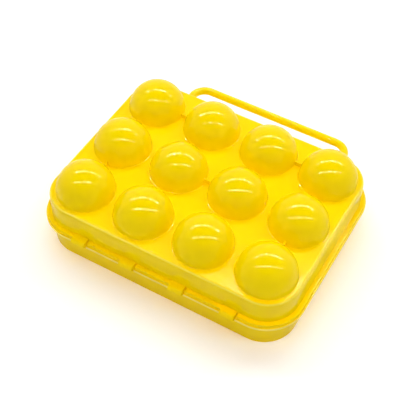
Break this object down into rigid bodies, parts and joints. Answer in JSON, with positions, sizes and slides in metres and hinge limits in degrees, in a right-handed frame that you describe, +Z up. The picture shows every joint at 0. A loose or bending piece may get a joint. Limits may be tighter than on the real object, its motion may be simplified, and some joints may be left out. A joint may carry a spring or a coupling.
{
  "type": "egg carrier",
  "caption": "Hinged plastic egg carrier: a cupped tray under a domed lid on pin hinges, with clip latches and a bail handle at the back.",
  "frame": {"origin": "on the table, under the middle of the egg grid", "axes": "+X along the hinge, +Y from the hinge towards the handle, +Z up"},
  "size_m": [0.2022, 0.1862, 0.0662],
  "materials": {
    "yellow_polypropylene": "injection moulded, glossy"
  },
  "bodies": {
    "tray_body": {"base_tray": "yellow_polypropylene", "hinge_pin_1": "yellow_polypropylene", "hinge_pin_2": "yellow_polypropylene", "hinge_pin_3": "yellow_polypropylene", "hinge_pin_4": "yellow_polypropylene"},
    "lid_body": {"lid": "yellow_polypropylene", "latch_pin_left": "yellow_polypropylene", "latch_pin_right": "yellow_polypropylene"},
    "handle_body": {"carry_handle": "yellow_polypropylene"},
    "latch_left_body": {"latch_left": "yellow_polypropylene"},
    "latch_right_body": {"latch_right": "yellow_polypropylene"}
  },
  "joints": [
    {"name": "lid_hinge", "type": "hinge", "parent": "tray_body", "child": "lid_body", "pos_m": [0, -0.077, 0.0244], "axis": [1, 0, 0], "range_deg": [0, 140]},
    {"name": "latch_left_hinge", "type": "hinge", "parent": "lid_body", "child": "latch_left_body", "pos_m": [-0.036, 0.0766, 0.0289], "axis": [1, 0, 0], "range_deg": [-11.2, 100]},
    {"name": "latch_right_hinge", "type": "hinge", "parent": "lid_body", "child": "latch_right_body", "pos_m": [0.036, 0.0766, 0.0289], "axis": [1, 0, 0], "range_deg": [-11.2, 100]},
    {"name": "handle_pivot", "type": "hinge", "parent": "tray_body", "child": "handle_body", "pos_m": [0, 0.0812, 0.023], "axis": [1, 0, 0], "range_deg": [-60, 90]}
  ]
}
